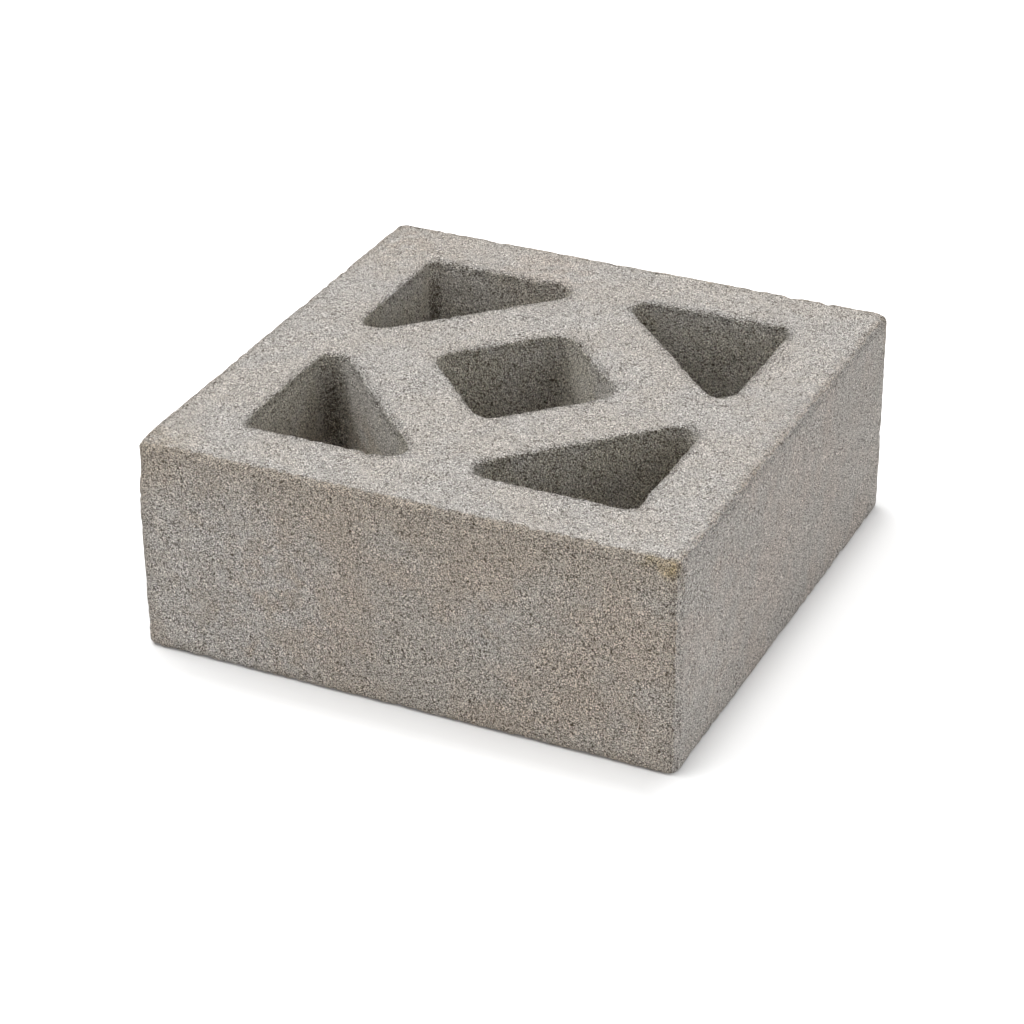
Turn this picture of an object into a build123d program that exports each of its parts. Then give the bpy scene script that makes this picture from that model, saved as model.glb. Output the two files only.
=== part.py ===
from build123d import *
import os
from math import sqrt

# Decorative screen block: one piece of cast concrete, lying on one of its two square faces.
# The origin is the middle of the lower face, +Z is up and the five cells run along Z.
# All sizes are in millimetres and angles in degrees.

# Outside of the block
face_side = 300.0
thickness = 120.0

# Solid left between the cells, as it measures on the upper face
rim_width = 41.5
web_width = 43.5
tip_gap = 14.2

# Taper of the cores that formed the cells, for each wall
core_draft = 1.0

# Radii of the cell corners on the upper face, seen from above
centre_corner_radius = 11.0
square_corner_radius = 5.5
sharp_corner_radius = 9.0

# Rounding of the arrises
upright_arris_radius = 6.0
upper_arris_radius = 4.5
lower_arris_radius = 3.0
upper_mouth_radius = 2.0
lower_mouth_chamfer = 1.6

# The cores run past the lower face by this much before they are cut away
core_overrun = 2.0

corner_cell_count = 4
diagonal = sqrt(2)

# The legs of a corner cell leave the rim, and its sharp tips leave the gap to the next cell.
# Its long side lies across the diagonal, and the web stands between it and the middle cell.
leg_line = face_side / 2 - rim_width
tip_line = tip_gap / 2
long_side_distance = (leg_line + tip_line) / diagonal
centre_half_side = long_side_distance - web_width


def core(corners, radii):
    """Core of one cell, widest at the upper face and tapering down past the lower one."""
    outline = make_face(FilletPolyline(*corners, radius=radii, close=True))
    depth = thickness + core_overrun
    return extrude(Pos(0, 0, thickness) * outline, amount=-depth, taper=core_draft)


def centre_core():
    """Square core in the middle of the block, turned to stand on its corner."""
    reach = centre_half_side * diagonal
    corners = [(reach, 0), (0, reach), (-reach, 0), (0, -reach)]
    return core(corners, [centre_corner_radius] * len(corners))


def corner_core():
    """Right-angled triangular core in one corner, its long side facing the middle."""
    corners = [(leg_line, leg_line), (tip_line, leg_line), (leg_line, tip_line)]
    return core(corners, [square_corner_radius, sharp_corner_radius, sharp_corner_radius])


def outer_block():
    """The block before its cells are formed, with its outside arrises rounded."""
    block = Box(face_side, face_side, thickness, align=(Align.CENTER, Align.CENTER, Align.MIN))
    block = fillet(block.edges().filter_by(Axis.Z), upright_arris_radius)
    block = fillet(block.faces().sort_by(Axis.Z)[-1].edges(), upper_arris_radius)
    return fillet(block.faces().sort_by(Axis.Z)[0].edges(), lower_arris_radius)


def mouth_edges(block, end):
    """Edges of all the cells on the upper face (end -1) or on the lower face (end 0)."""
    face = block.faces().filter_by(Axis.Z).sort_by(Axis.Z)[end]
    return ShapeList(edge for wire in face.inner_wires() for edge in wire.edges())


block = outer_block() - centre_core()
for index in range(corner_cell_count):
    block -= Rot(0, 0, index * 360 / corner_cell_count) * corner_core()

block = fillet(mouth_edges(block, -1), upper_mouth_radius)
block = chamfer(mouth_edges(block, 0), lower_mouth_chamfer)

os.makedirs("parts", exist_ok=True)
export_step(block, "parts/concrete_block.step")
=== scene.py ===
import math

import bpy
import numpy as np
import openvdb
from mathutils import Matrix, Vector


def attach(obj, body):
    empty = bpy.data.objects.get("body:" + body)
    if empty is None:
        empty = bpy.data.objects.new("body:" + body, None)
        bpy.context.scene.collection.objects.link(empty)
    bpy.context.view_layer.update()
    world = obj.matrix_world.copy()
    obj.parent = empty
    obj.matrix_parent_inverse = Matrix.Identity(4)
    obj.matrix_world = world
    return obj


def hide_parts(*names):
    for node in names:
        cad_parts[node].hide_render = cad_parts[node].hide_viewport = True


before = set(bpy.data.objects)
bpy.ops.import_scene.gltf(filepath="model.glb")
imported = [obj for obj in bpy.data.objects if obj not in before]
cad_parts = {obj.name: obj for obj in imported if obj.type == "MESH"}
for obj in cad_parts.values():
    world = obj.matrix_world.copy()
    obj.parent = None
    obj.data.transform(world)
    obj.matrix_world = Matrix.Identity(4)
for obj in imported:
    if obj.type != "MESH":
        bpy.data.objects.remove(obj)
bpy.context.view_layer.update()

# Concrete screen block lying on a white studio floor.
# Lengths are in metres, in the frame of the part. Names that end in _MM are in millimetres,
# and so are the distances and depths of the carved relief.

BLOCK_NODE = "concrete_block"
BLOCK_HALF_SIDE = 0.150
MM_PER_M = 1000.0

# Camera at the photograph's angle, aimed at a point inside the block
CAMERA_PLACE = Vector((0.6118, -1.3045, 0.8489))
CAMERA_TARGET = Vector((0.01054, -0.03950, 0.06))
CAMERA_ROLL = math.radians(-0.543)
CAMERA_LENS_MM = 108.05
SENSOR_MM = 36.0

# Studio light: an even white world, a wide soft light from above on the left and a low fill on the right.
# Each lamp has its name, strength, angle across and the turn that aims it.
WORLD_STRENGTH = 0.48
LAMPS = [
    ("overhead_light", 2.30, math.radians(50), (0.0, math.radians(-24), 0.0)),
    ("right_fill", 0.72, math.radians(50), (math.radians(14), math.radians(76), 0.0)),
]

# Floor: its own colour for light that it throws back, and a whiter one where the camera sees it.
# What the camera sees glows less close to the block: a painted shadow round the block, set off towards the front
# and left, which adds to the real shadow there.
FLOOR_HALF_SIZE = 12.0
FLOOR_COLOUR = (0.80, 0.80, 0.80, 1)
FLOOR_SEEN_COLOUR = (0.95, 0.95, 0.95, 1)
FLOOR_GLOW_IN_PAINTED_SHADOW = 0.03
FLOOR_GLOW_FAR = 0.42
FLOOR_PAINTED_SHADOW_REACH = 0.034
FLOOR_PAINTED_SHADOW_SHIFT = (0.014, 0.0125, 0.0)

# Grid that the block's surface is carved on, and the triangles that are kept of it
VOXEL = 0.001
VOXEL_MM = 1.0
BAND_VOXELS = 10
TRIANGLES = 196000
SEED = 31
BLUR_PASSES = 2

# Sizes in voxels of the random lumps, and of the blurs that find the arrises and the inner corners
GRIT_RADIUS = 1
CRUMB_RADIUS = 2
SWELL_RADIUS = 14
DIRECTION_BLUR = 1
ARRIS_BLUR = 3
NOOK_BLUR = 7

# Depth of the relief: everywhere, and what grit, crumbs, swells and single pits add to it
LEAST_DEPTH = 0.04
MEAN_DEPTH = 0.22
GRIT_DEPTH = 0.09
CRUMB_DEPTH = 0.04
SWELL_DEPTH = 0.03
PIT_DEPTH = 0.60
PIT_START = 2.1

# The same on the worn arrises, with the levels from which grit and crumbs break out there
ARRIS_DEPTH = 0.02
ARRIS_GRIT_DEPTH = 0.22
ARRIS_GRIT_START = 0.2
ARRIS_CRUMB_DEPTH = 0.10
ARRIS_CRUMB_START = 0.5

# Chips out of the mouths of the cells, most of them where a wall faces the front
CHIP_DEPTH = 0.80
CHIP_START = 0.1
CHIP_MOST = 1.6
CHIP_SHARE_ALL = 0.2
CHIP_SHARE_FRONT = 0.9
CHIP_OUTLINE = 0.135
CHIP_OUTLINE_FADE = 0.010

# How far the blurred surface stands off the real one where wear and inner corners start, and over what it grows
WEAR_START = 0.15
WEAR_GROWTH = 0.8
NOOK_START = 1.1
NOOK_GROWTH = 1.6

# Corners worn by handling: place, reach of the wear and its depth
WORN_CORNERS = [
    ((-0.150, -0.150, 0.108), 0.014, 2.4),
    ((0.150, -0.150, 0.120), 0.011, 2.4),
]

# Colours of the concrete: the upper skin, the rough front and back, the streaked ends and the cell walls
SKIN_WARM = (0.595, 0.551, 0.504, 1)
SKIN_GREY = (0.583, 0.550, 0.515, 1)
ROUGH_SIDE_BROWN = (0.480, 0.417, 0.353, 1)
ROUGH_SIDE_GREY = (0.480, 0.438, 0.388, 1)
STREAKED_SIDE_WARM = (0.545, 0.490, 0.444, 1)
STREAKED_SIDE_GREY = (0.522, 0.489, 0.452, 1)
WALL_OLIVE = (0.545, 0.507, 0.436, 1)
WALL_GREY = (0.545, 0.512, 0.466, 1)

# Rough brown band round the top of the front and back, fainter towards the left, with its ranges
# in height, depth and width
BAND_BROWN = (0.440, 0.385, 0.322, 1)
BAND_SHARE = 0.7
BAND_HEIGHTS = (0.092, 0.108)
BAND_SIDES = (0.140, 0.145)
BAND_LEFT = (-0.145, -0.100)
BAND_LEFT_SHARE = 0.25

# Smooth, paler arrises that run upright at the corners
UPRIGHT_ARRIS = (0.660, 0.605, 0.556, 1)
UPRIGHT_ARRIS_SHARE = 0.8
UPRIGHT_ARRIS_PLACE = (0.1450, 0.1475)

# Sandy tint in places along the other outer arrises
SANDY_ARRIS = (0.610, 0.515, 0.425, 1)
SANDY_ARRIS_SHARE = 0.45

# Stains, with painted shade and light on some cell walls: place, full and faded reach in metres, colour and share
STAINS_AND_PAINTED_LIGHT = [
    # Ochre at the front right upper corner
    ((0.1440, -0.150, 0.1175), 0.003, 0.0095, (0.44, 0.34, 0.19, 1), 0.85),
    ((0.1335, -0.150, 0.1175), 0.002, 0.0085, (0.45, 0.37, 0.23, 1), 0.75),
    # Peach on the upper face, by the back left cell
    ((-0.040, 0.122, 0.120), 0.008, 0.045, (0.590, 0.520, 0.460, 1), 0.7),
    # Painted shade low in the back right cell and, browner, in the front left cell, and painted light on a wall of
    # the back left cell
    ((0.064, 0.110, 0.042), 0.040, 0.075, (0.430, 0.402, 0.355, 1), 0.9),
    ((-0.070, -0.046, 0.045), 0.020, 0.074, (0.420, 0.340, 0.270, 1), 0.7),
    ((-0.035, 0.1085, 0.085), 0.010, 0.034, (0.720, 0.680, 0.580, 1), 0.8),
    # Brown on the front left corner and beige on the back left part of the upper face
    ((-0.146, -0.148, 0.116), 0.008, 0.040, (0.49, 0.43, 0.355, 1), 0.7),
    ((-0.140, 0.140, 0.118), 0.010, 0.080, (0.548, 0.486, 0.424, 1), 0.8),
    # Grey patches on the front
    ((-0.100, -0.150, 0.045), 0.035, 0.085, (0.530, 0.497, 0.460, 1), 0.9),
    ((0.050, -0.150, 0.060), 0.005, 0.030, (0.500, 0.480, 0.450, 1), 0.6),
    # Pale and warm patches on the right side
    ((0.150, -0.110, 0.030), 0.010, 0.060, (0.570, 0.540, 0.502, 1), 0.7),
    ((0.150, 0.000, 0.070), 0.010, 0.060, (0.575, 0.514, 0.464, 1), 0.6),
]

# Where the surface counts as an outer side, as one of the ends and as the upper skin
OUTER_RANGE = (0.120, 0.135)
END_FACING = (0.60, 0.78)
SKIN_FACING = (0.70, 0.88)
SKIN_EDGE = (0.1451, 0.1460)
SKIN_EDGE_RAGGED = 0.006
SKIN_FACING_RAGGED = 0.8

# Contrast of the grain on each area, and how much more of it there is at the mouths of the cells
SIDE_GRAIN = 1.65
BAND_GRAIN = 1.9
CORNER_GRAIN = 1.2
SKIN_GRAIN = 1.35
MOUTH_GRAIN = 0.4

# Grains, crevices and marks: size of each, and its shade where there is none and where it is full
SAND_SIZE_MM = 0.45
SAND_CONTRAST = 5.0
GRAIN_SIZE_MM = 1.1
GRAIN_CONTRAST = 0.35
CREVICE_SIZE_MM = 1.05
CREVICE_SHADES = (0.16, -0.26)
MARK_SIZE_MM = 1.6
MARK_WIDTH = 0.07
MARK_SHADES = (0.08, -0.60)

# Streaks run down the ends: the grain is squeezed to this share along each axis
STREAK_SQUEEZE = (1.0, 1.0, 0.12)
STREAK_SIZE_MM = 1.7
STREAK_CONTRAST = 0.6

# Plain shade: painted shade in the inner corners and in the chips, painted light and shade by the way a cell wall
# faces, lighter on worn arrises, and painted light low on the ends
NOOK_RANGE = (0.15, 0.95)
NOOK_PAINTED_SHADES = (1.05, 0.34)
TURNED_PAINTED_SHADES = (-0.23, 0.09)
WORN_SHADE = 0.16
LOW_PAINTED_LIGHT = 0.09
LOW_HEIGHT = 0.100
CHIP_PAINTED_SHADE = 0.30
SHADE_LIMITS = (0.12, 2.2)

# Pores: single dark spots where this noise is low
PORE_SIZE_MM = 1.9
PORE_RANGE = (0.19, 0.26)
PORE_SHADE = 0.5

# Height of the fine bump, and how much more of it there is on worn arrises
BUMP_HEIGHT = 0.0014
WORN_BUMP = 1.2


def add_camera():
    data = bpy.data.cameras.new("camera")
    data.lens = CAMERA_LENS_MM
    data.sensor_width = SENSOR_MM
    camera = bpy.data.objects.new("camera", data)
    bpy.context.scene.collection.objects.link(camera)
    aim = (CAMERA_TARGET - CAMERA_PLACE).to_track_quat("-Z", "Y")
    turn = Matrix.Rotation(CAMERA_ROLL, 4, "Z")
    camera.matrix_world = Matrix.Translation(CAMERA_PLACE) @ aim.to_matrix().to_4x4() @ turn
    bpy.context.scene.camera = camera


def add_lights():
    world = bpy.data.worlds.new("studio_world")
    world.use_nodes = True
    background = world.node_tree.nodes["Background"]
    background.inputs["Color"].default_value = (1, 1, 1, 1)
    background.inputs["Strength"].default_value = WORLD_STRENGTH
    bpy.context.scene.world = world
    for name, strength, angle, turn in LAMPS:
        data = bpy.data.lights.new(name, "SUN")
        data.energy = strength
        data.angle = angle
        lamp = bpy.data.objects.new(name, data)
        lamp.rotation_euler = turn
        bpy.context.scene.collection.objects.link(lamp)


class Nodes:
    """Short calls that add nodes to one material's tree and link them."""

    def __init__(self, name):
        self.material = bpy.data.materials.new(name)
        self.material.use_nodes = True
        self.tree = self.material.node_tree
        self.shader = self.tree.nodes["Principled BSDF"]
        self.output = self.tree.nodes["Material Output"]

    def add(self, kind, inputs=(), **settings):
        """A node of that kind; inputs maps a socket's name or number to a value or another socket."""
        node = self.tree.nodes.new(kind)
        for name, value in settings.items():
            setattr(node, name, value)
        for socket, value in dict(inputs).items():
            self.feed(node.inputs[socket], value)
        return node

    def feed(self, socket, value):
        if isinstance(value, bpy.types.NodeSocket):
            self.tree.links.new(value, socket)
        else:
            socket.default_value = value

    def math(self, operation, first, second=0.0):
        return self.add("ShaderNodeMath", {0: first, 1: second}, operation=operation).outputs[0]

    def plus(self, first, second):
        return self.math("ADD", first, second)

    def minus(self, first, second):
        return self.math("SUBTRACT", first, second)

    def times(self, value, factor):
        return self.math("MULTIPLY", value, factor)

    def vector_math(self, operation, first, second):
        return self.add("ShaderNodeVectorMath", {0: first, 1: second}, operation=operation).outputs[0]

    def scaled(self, vector, factor):
        """vector with all its channels multiplied by factor."""
        return self.add("ShaderNodeVectorMath", {0: vector, "Scale": factor}, operation="SCALE").outputs[0]

    def split(self, vector):
        return self.add("ShaderNodeSeparateXYZ", {0: vector}).outputs

    def object_place(self):
        return self.add("ShaderNodeTexCoord").outputs["Object"]

    def attribute(self, name):
        return self.add("ShaderNodeAttribute", attribute_name=name).outputs["Fac"]

    def between(self, value, low, high, out_low=0.0, out_high=1.0):
        """value mapped from low..high to out_low..out_high, smoothly and held at the ends."""
        inputs = {"Value": value, "From Min": low, "From Max": high, "To Min": out_low, "To Max": out_high}
        return self.add("ShaderNodeMapRange", inputs, interpolation_type="SMOOTHSTEP").outputs[0]

    def blend(self, share, first, second):
        """The colour first turned into the colour second by share."""
        node = self.add("ShaderNodeMix", data_type="RGBA")
        self.feed(node.inputs["Factor"], share)
        self.feed(node.inputs["A"], first)
        self.feed(node.inputs["B"], second)
        return node.outputs["Result"]

    def noise(self, place, size_mm, detail=2.0):
        """Noise between 0 and 1 whose lumps are about size_mm across."""
        inputs = {"Vector": place, "Scale": MM_PER_M / size_mm, "Detail": detail}
        return self.add("ShaderNodeTexNoise", inputs).outputs["Fac"]

    def swing(self, place, size_mm, amount):
        """Noise around 0 with lumps of about size_mm, its contrast set by amount."""
        return self.times(self.minus(self.noise(place, size_mm, detail=1.0), 0.5), amount)

    def wobbled(self, place, size_mm, reach):
        """place pushed about by up to reach metres."""
        inputs = {"Vector": place, "Scale": MM_PER_M / size_mm, "Detail": 1.0}
        colour = self.add("ShaderNodeTexNoise", inputs).outputs["Color"]
        centred = self.vector_math("SUBTRACT", colour, (0.5, 0.5, 0.5))
        return self.vector_math("ADD", self.scaled(centred, 2.0 * reach), place)

    def crevices(self, place, size_mm):
        """0 on the top of each rounded grain, rising to 1 in the gaps between grains of about size_mm."""
        inputs = {"Vector": place, "Scale": MM_PER_M / size_mm}
        away = self.add("ShaderNodeTexVoronoi", inputs, feature="F1").outputs["Distance"]
        return self.between(away, 0.30, 0.80)

    def marks(self, place, size_mm, width):
        """1 along short curved lines, broken up, 0 away from them."""
        away = self.math("ABSOLUTE", self.minus(self.noise(place, size_mm, detail=0.0), 0.5))
        lines = self.between(away, 0.0, width, 1.0, 0.0)
        return self.times(lines, self.between(self.noise(place, 1.3 * size_mm, detail=0.0), 0.50, 0.60))

    def closeness(self, place, spot, inner, outer):
        """1 within inner metres of spot, falling to 0 at outer metres."""
        away = self.add("ShaderNodeVectorMath", {0: place, 1: spot}, operation="DISTANCE").outputs["Value"]
        return self.between(away, inner, outer, 1.0, 0.0)


def grey(value):
    return (value, value, value, 1)


def floor_material():
    nodes = Nodes("studio_white")
    nodes.shader.inputs["Base Color"].default_value = FLOOR_COLOUR
    nodes.shader.inputs["Roughness"].default_value = 1.0
    nodes.shader.inputs["Specular IOR Level"].default_value = 0.0
    # Painted shadow: the glow is kept low near the block's footprint, which is moved towards the front and left.
    place = nodes.split(nodes.vector_math("ADD", nodes.object_place(), FLOOR_PAINTED_SHADOW_SHIFT))
    from_middle = nodes.math("MAXIMUM", nodes.math("ABSOLUTE", place[0]), nodes.math("ABSOLUTE", place[1]))
    reach = BLOCK_HALF_SIDE + FLOOR_PAINTED_SHADOW_REACH
    glow_with_painted_shadow = nodes.between(from_middle, BLOCK_HALF_SIDE, reach, FLOOR_GLOW_IN_PAINTED_SHADOW, FLOOR_GLOW_FAR)
    seen = nodes.add("ShaderNodeBsdfDiffuse", {"Color": FLOOR_SEEN_COLOUR}).outputs[0]
    glow = nodes.add("ShaderNodeEmission", {"Strength": glow_with_painted_shadow}).outputs[0]
    bright = nodes.add("ShaderNodeAddShader", {0: seen, 1: glow}).outputs[0]
    camera_ray = nodes.add("ShaderNodeLightPath").outputs["Is Camera Ray"]
    inputs = {0: camera_ray, 1: nodes.shader.outputs[0], 2: bright}
    mixed = nodes.add("ShaderNodeMixShader", inputs).outputs[0]
    nodes.feed(nodes.output.inputs["Surface"], mixed)
    return nodes.material


def add_floor():
    half = FLOOR_HALF_SIZE
    corners = [(-half, -half, 0), (half, -half, 0), (half, half, 0), (-half, half, 0)]
    mesh = bpy.data.meshes.new("studio_floor")
    mesh.from_pydata(corners, [], [(0, 1, 2, 3)])
    mesh.materials.append(floor_material())
    floor = bpy.data.objects.new("studio_floor", mesh)
    bpy.context.scene.collection.objects.link(floor)


def solid_distance(node):
    """Distance in millimetres to the CAD surface on a grid, less than 0 inside, and the grid's first voxel."""
    mesh = node.data
    mesh.calc_loop_triangles()
    points = np.empty(len(mesh.vertices) * 3, np.float32)
    mesh.vertices.foreach_get("co", points)
    triangles = np.empty(len(mesh.loop_triangles) * 3, np.int32)
    mesh.loop_triangles.foreach_get("vertices", triangles)
    grid = openvdb.FloatGrid.createLevelSetFromPolygons(
        points.reshape(-1, 3),
        triangles=triangles.reshape(-1, 3).astype(np.uint32),
        transform=openvdb.createLinearTransform(voxelSize=VOXEL),
        halfWidth=BAND_VOXELS,
    )
    first, last = grid.evalActiveVoxelBoundingBox()
    distance = np.empty([high - low + 1 for low, high in zip(first, last)], np.float32)
    grid.copyToArray(distance, ijk=first)
    return distance * (VOXEL_MM / VOXEL), first


def blurred(field, reach):
    """Box blur over reach voxels to each side, repeated to come near a Gaussian."""
    width = 2 * reach + 1
    for _ in range(BLUR_PASSES):
        for axis in range(field.ndim):
            margin = [(0, 0)] * field.ndim
            margin[axis] = (reach + 1, reach)
            total = np.cumsum(np.pad(field, margin, mode="edge"), axis=axis, dtype=np.float64)
            total = np.swapaxes(total, 0, axis)
            field = np.swapaxes((total[width:] - total[:-width]) / width, 0, axis).astype(np.float32)
    return field


def lumps(random, shape, radius):
    """Smooth random field with a spread of 1 and lumps of about that radius in voxels."""
    field = blurred(random.standard_normal(shape, dtype=np.float32), radius)
    return field / field.std()


def worn_corners(shape, first):
    """Depth lost where two upper corners of the block are rounded off by handling."""
    axes = [(low + np.arange(size)) * VOXEL for low, size in zip(first, shape)]
    x, y, z = np.meshgrid(*axes, indexing="ij", sparse=True)
    loss = np.zeros(shape, np.float32)
    for corner, reach, deepest in WORN_CORNERS:
        away = (x - corner[0]) ** 2 + (y - corner[1]) ** 2 + (z - corner[2]) ** 2
        loss += deepest * np.exp(-away / reach ** 2)
    return loss


def inside_outline(shape, first):
    """1 at the mouths of the cells and 0 at the outside of the block."""
    x, y = [(low + np.arange(size)) * VOXEL for low, size in zip(first[:2], shape[:2])]
    away = np.maximum(np.abs(x)[:, None, None], np.abs(y)[None, :, None])
    return np.clip((CHIP_OUTLINE - away) / CHIP_OUTLINE_FADE, 0, 1)


def carve(distance, first):
    """The distance with the relief cut in, and the fields that say where wear, inner corners and chips are."""
    random = np.random.default_rng(SEED)
    shape = distance.shape
    grit = lumps(random, shape, GRIT_RADIUS)
    crumb = lumps(random, shape, CRUMB_RADIUS)
    swell = lumps(random, shape, SWELL_RADIUS)

    bulge = blurred(distance, ARRIS_BLUR) - distance
    wear = np.clip((bulge - WEAR_START) / WEAR_GROWTH, 0, 1)
    # Inner corners, which the material darkens with painted shade
    hollow = blurred(distance, NOOK_BLUR) - distance
    nook_for_painted_shade = np.clip((-hollow - NOOK_START) / NOOK_GROWTH, 0, 1)

    depth = MEAN_DEPTH + GRIT_DEPTH * grit + CRUMB_DEPTH * crumb + SWELL_DEPTH * swell
    depth += PIT_DEPTH * np.clip(crumb - PIT_START, 0, 1.0)
    loose_grit = ARRIS_GRIT_DEPTH * np.clip(grit - ARRIS_GRIT_START, 0, 2.5)
    loose_crumb = ARRIS_CRUMB_DEPTH * np.clip(crumb - ARRIS_CRUMB_START, 0, 2)
    depth += wear * (ARRIS_DEPTH + loose_grit + loose_crumb)

    slope = np.gradient(blurred(distance, DIRECTION_BLUR), axis=1) / VOXEL_MM
    toward_front = CHIP_SHARE_ALL + CHIP_SHARE_FRONT * np.clip(-slope, 0, 1)
    broken_out = np.clip(crumb - CHIP_START, 0, CHIP_MOST)
    chips = wear * inside_outline(shape, first) * toward_front * broken_out
    depth += CHIP_DEPTH * chips
    depth += worn_corners(shape, first)
    depth = np.clip(depth, LEAST_DEPTH, None)
    return distance + depth, {"wear": wear, "nook_for_painted_shade": nook_for_painted_shade, "chips": chips}


def surface_mesh(distance, first):
    """Closed triangle mesh of the surface where distance is 0, and how many triangles it has."""
    grid = openvdb.FloatGrid(float(BAND_VOXELS * VOXEL_MM))
    grid.transform = openvdb.createLinearTransform(voxelSize=VOXEL)
    grid.copyFromArray(np.ascontiguousarray(distance, np.float32), ijk=first)
    points, triangles, quads = grid.convertToPolygons(isovalue=0.0, adaptivity=0.0)
    halves = np.concatenate([quads[:, [0, 1, 2]], quads[:, [0, 2, 3]]])
    faces = np.concatenate([triangles.reshape(-1, 3), halves]).astype(np.int32)
    mesh = bpy.data.meshes.new("concrete_block_cast")
    mesh.vertices.add(len(points))
    mesh.vertices.foreach_set("co", np.asarray(points, np.float32).ravel())
    mesh.loops.add(faces.size)
    mesh.loops.foreach_set("vertex_index", faces.ravel())
    mesh.polygons.add(len(faces))
    mesh.polygons.foreach_set("loop_start", np.arange(0, faces.size, 3, dtype=np.int32))
    mesh.update()
    return mesh, len(faces)


def thin_out(block, share):
    """Keep that share of the block's triangles."""
    thin = block.modifiers.new("thin", "DECIMATE")
    thin.ratio = share
    evaluated = block.evaluated_get(bpy.context.evaluated_depsgraph_get())
    thinned = bpy.data.meshes.new_from_object(evaluated)
    block.modifiers.clear()
    block.data = thinned


def store_fields(mesh, fields, first):
    """Give each point of the mesh the value of every field in the voxel nearest to it."""
    points = np.empty(len(mesh.vertices) * 3, np.float32)
    mesh.vertices.foreach_get("co", points)
    voxels = np.rint(points.reshape(-1, 3) / VOXEL).astype(int) - np.array(first)
    for name, field in fields.items():
        x, y, z = np.clip(voxels, 0, np.array(field.shape) - 1).T
        layer = mesh.attributes.new(name, "FLOAT", "POINT")
        layer.data.foreach_set("value", field[x, y, z].astype(np.float32))


def add_block():
    distance, first = solid_distance(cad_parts[BLOCK_NODE])
    carved, fields = carve(distance, first)
    mesh, triangle_count = surface_mesh(carved, first)
    block = bpy.data.objects.new("cast_block", mesh)
    bpy.context.scene.collection.objects.link(block)
    thin_out(block, TRIANGLES / triangle_count)
    block.data.shade_smooth()
    store_fields(block.data, fields, first)
    block.data.materials.append(concrete_material())
    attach(block, "root")
    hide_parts(BLOCK_NODE)


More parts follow.
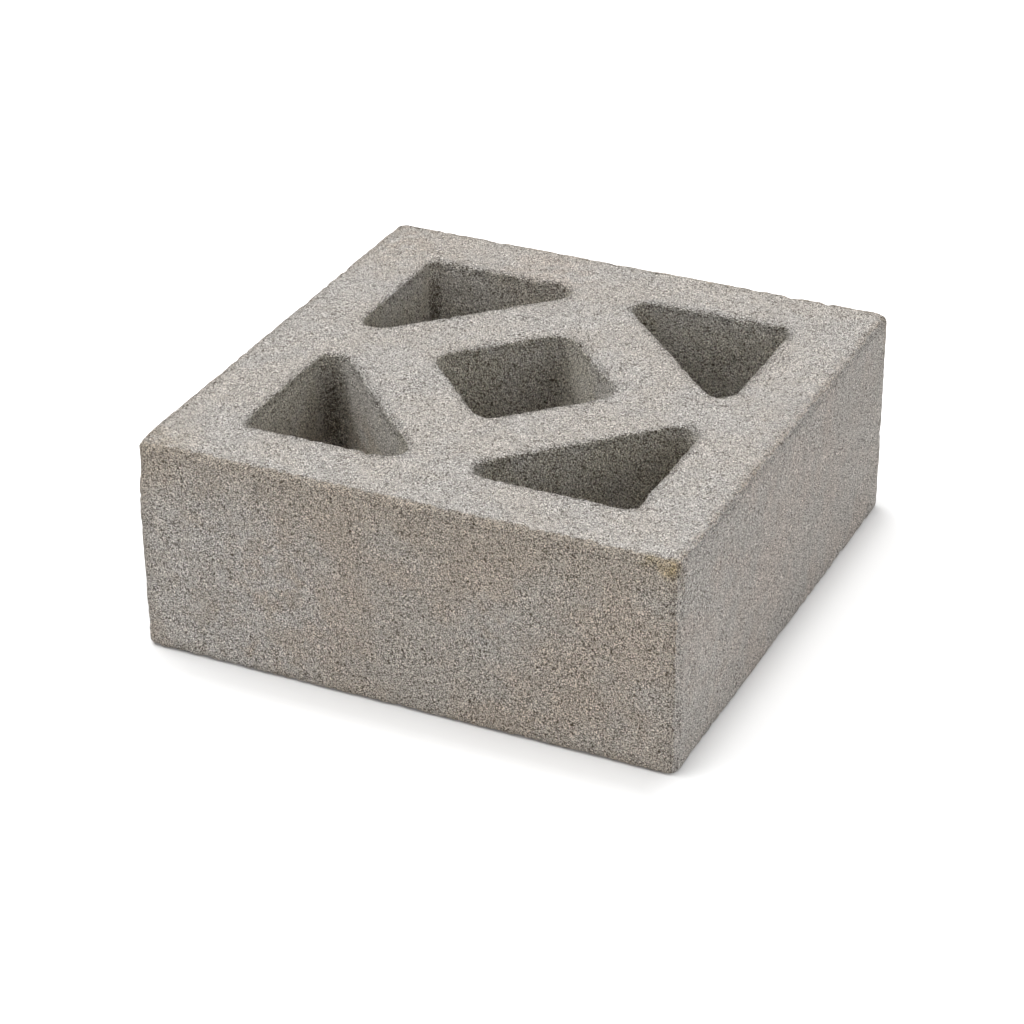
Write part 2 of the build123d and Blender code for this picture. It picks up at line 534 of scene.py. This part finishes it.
class Concrete(Nodes):
    """Nodes of the cast concrete, with the areas that its colours, grain and bump share."""

    def __init__(self):
        super().__init__("cast_concrete")
        self.place = self.object_place()
        self.position = self.split(self.place)
        self.facing = self.split(self.add("ShaderNodeNewGeometry").outputs["Normal"])
        self.wear = self.attribute("wear")
        self.nook_for_painted_shade = self.attribute("nook_for_painted_shade")
        self.chips = self.attribute("chips")

        self.from_middle_x = self.math("ABSOLUTE", self.position[0])
        self.from_middle_y = self.math("ABSOLUTE", self.position[1])
        self.outer = self.between(self.math("MAXIMUM", self.from_middle_x, self.from_middle_y), *OUTER_RANGE)
        self.inner = self.minus(1.0, self.outer)
        self.across = self.between(self.math("ABSOLUTE", self.facing[0]), *END_FACING)
        self.ends = self.times(self.across, self.outer)
        self.skin = self.skin_area()
        self.band = self.band_area()
        self.corner = self.corner_area()

        bent = self.wobbled(self.place, 1.2, 0.0006)
        self.grain_gaps = self.crevices(bent, CREVICE_SIZE_MM)
        self.grain_marks = self.marks(bent, MARK_SIZE_MM, MARK_WIDTH)

    def skin_area(self):
        """The pale upper skin, which breaks off in a ragged line at the front and back."""
        ragged = self.plus(self.swing(self.place, 2.6, 1.0), self.swing(self.place, 7.0, 0.5))
        upward = self.plus(self.facing[2], self.times(ragged, SKIN_FACING_RAGGED))
        past_arris = self.plus(self.from_middle_y, self.times(ragged, SKIN_EDGE_RAGGED))
        return self.times(self.between(upward, *SKIN_FACING), self.between(past_arris, *SKIN_EDGE, 1.0, 0.0))

    def band_area(self):
        """The rough band round the top of the front and back."""
        height = self.plus(self.position[2], self.swing(self.place, 16.0, 0.030))
        band = self.times(self.between(height, *BAND_HEIGHTS), self.between(self.from_middle_y, *BAND_SIDES))
        return self.times(band, self.between(self.position[0], *BAND_LEFT, BAND_LEFT_SHARE, 1.0))

    def corner_area(self):
        """The smooth upright arrises, on the side of the ends."""
        nearest = self.math("MINIMUM", self.from_middle_x, self.from_middle_y)
        return self.times(self.between(nearest, *UPRIGHT_ARRIS_PLACE), self.across)

    def colour(self):
        """Colours of the areas, patchy at two sizes, with the stains and the painted light and shade over them."""
        place = self.place
        patch = self.plus(self.noise(place, 42.0, detail=1.0), self.swing(place, 13.0, 0.55))
        patch = self.between(patch, 0.34, 0.68)
        broken = self.between(self.noise(place, 9.0), 0.34, 0.60, 0.2, 1.0)

        rough_side = self.blend(patch, ROUGH_SIDE_BROWN, ROUGH_SIDE_GREY)
        streaked_side = self.blend(patch, STREAKED_SIDE_WARM, STREAKED_SIDE_GREY)
        side = self.blend(self.across, rough_side, streaked_side)
        side = self.blend(self.times(self.band, BAND_SHARE), side, BAND_BROWN)
        side = self.blend(self.times(self.corner, UPRIGHT_ARRIS_SHARE), side, UPRIGHT_ARRIS)
        side = self.blend(self.outer, self.blend(patch, WALL_OLIVE, WALL_GREY), side)
        colour = self.blend(self.skin, side, self.blend(patch, SKIN_WARM, SKIN_GREY))

        sandy = self.times(self.times(self.wear, self.outer), self.minus(1.0, self.across))
        colour = self.blend(self.times(self.times(sandy, broken), SANDY_ARRIS_SHARE), colour, SANDY_ARRIS)
        # Stains, and painted light and shade on the cell walls, blended over the colour
        for spot, full_reach, faded_reach, stain_or_painted_light, share in STAINS_AND_PAINTED_LIGHT:
            stained_or_painted = self.times(self.closeness(place, spot, full_reach, faded_reach), broken)
            colour = self.blend(self.times(stained_or_painted, share), colour, stain_or_painted_light)
        return colour

    def grain(self):
        """Rounded grains with dark crevices and marks, finer sand over them, and streaks down the ends."""
        grain = self.plus(self.swing(self.place, SAND_SIZE_MM, SAND_CONTRAST),
                          self.swing(self.place, GRAIN_SIZE_MM, GRAIN_CONTRAST))
        grain = self.plus(grain, self.between(self.grain_gaps, 0.0, 1.0, *CREVICE_SHADES))
        grain = self.plus(grain, self.between(self.grain_marks, 0.0, 1.0, *MARK_SHADES))

        contrast = self.blend(self.band, grey(SIDE_GRAIN), grey(BAND_GRAIN))
        contrast = self.blend(self.corner, contrast, grey(CORNER_GRAIN))
        contrast = self.blend(self.skin, contrast, grey(SKIN_GRAIN))
        at_mouth = self.times(self.wear, self.inner)
        contrast = self.times(contrast, self.plus(self.times(at_mouth, MOUTH_GRAIN), 1.0))

        squeezed = self.vector_math("MULTIPLY", self.place, STREAK_SQUEEZE)
        streaks = self.times(self.swing(squeezed, STREAK_SIZE_MM, STREAK_CONTRAST), self.ends)
        return self.plus(self.times(grain, contrast), streaks)

    def plain_shade(self):
        """How light each place is before the grain is added: painted shade in the inner corners and chips, painted
        light and shade on the cell walls, and painted light low on the ends.
        """
        # Painted light and shade on the cell walls: darker where a wall faces right and to the front, lighter
        # where it faces left and to the front.
        wall_turn_for_painted_light = self.times(self.times(self.facing[0], self.facing[1]), self.inner)
        # Painted shade in the inner corners
        shade = self.plus(self.between(self.nook_for_painted_shade, *NOOK_RANGE, *NOOK_PAINTED_SHADES),
                          self.between(wall_turn_for_painted_light, -0.5, 0.5, *TURNED_PAINTED_SHADES))
        shade = self.plus(shade, self.times(self.times(self.wear, self.outer), WORN_SHADE))
        # Painted bounce light from the floor: the ends are lighter low down.
        low = self.between(self.position[2], 0.0, LOW_HEIGHT, LOW_PAINTED_LIGHT, 0.0)
        shade = self.plus(shade, self.times(low, self.ends))
        # Painted shade in the chips at the mouths of the cells
        return self.minus(shade, self.times(self.chips, CHIP_PAINTED_SHADE))

    def tint(self):
        """The shade as a colour: pits turn a little browner and raised grains a little greyer."""
        pores = self.between(self.noise(self.place, PORE_SIZE_MM, detail=0.0), *PORE_RANGE, PORE_SHADE, 1.0)
        shade = self.times(self.plus(self.grain(), self.plain_shade()), pores)
        darkest, lightest = SHADE_LIMITS
        shade = self.math("MINIMUM", self.math("MAXIMUM", shade, darkest), lightest)
        redder = self.plus(self.times(shade, 0.97), 0.03)
        bluer = self.math("MAXIMUM", self.plus(self.times(shade, 1.04), -0.04), 0.05)
        return self.add("ShaderNodeCombineXYZ", {0: redder, 1: shade, 2: bluer}).outputs[0]

    def bump(self):
        """Normal with the fine relief of the grains, crevices and marks."""
        place = self.place
        finer = self.times(self.noise(place, 0.6, detail=1.0), 0.6)
        coarser = self.times(self.noise(place, 2.8, detail=1.0), 0.5)
        height = self.plus(self.plus(self.noise(place, 1.1, detail=1.0), finer), coarser)
        sunk = self.plus(self.times(self.grain_gaps, 0.35), self.times(self.grain_marks, 0.5))
        more_worn = self.plus(self.times(self.wear, WORN_BUMP), 1.0)
        inputs = {"Strength": 1.0, "Distance": BUMP_HEIGHT,
                  "Height": self.times(self.minus(height, sunk), more_worn)}
        return self.add("ShaderNodeBump", inputs).outputs[0]


def concrete_material():
    nodes = Concrete()
    nodes.feed(nodes.shader.inputs["Base Color"], nodes.vector_math("MULTIPLY", nodes.colour(), nodes.tint()))
    nodes.feed(nodes.shader.inputs["Normal"], nodes.bump())
    nodes.shader.inputs["Roughness"].default_value = 0.95
    nodes.shader.inputs["Specular IOR Level"].default_value = 0.2
    return nodes.material


add_camera()
add_lights()
add_floor()
add_block()
bpy.context.scene.view_settings.view_transform = "Standard"
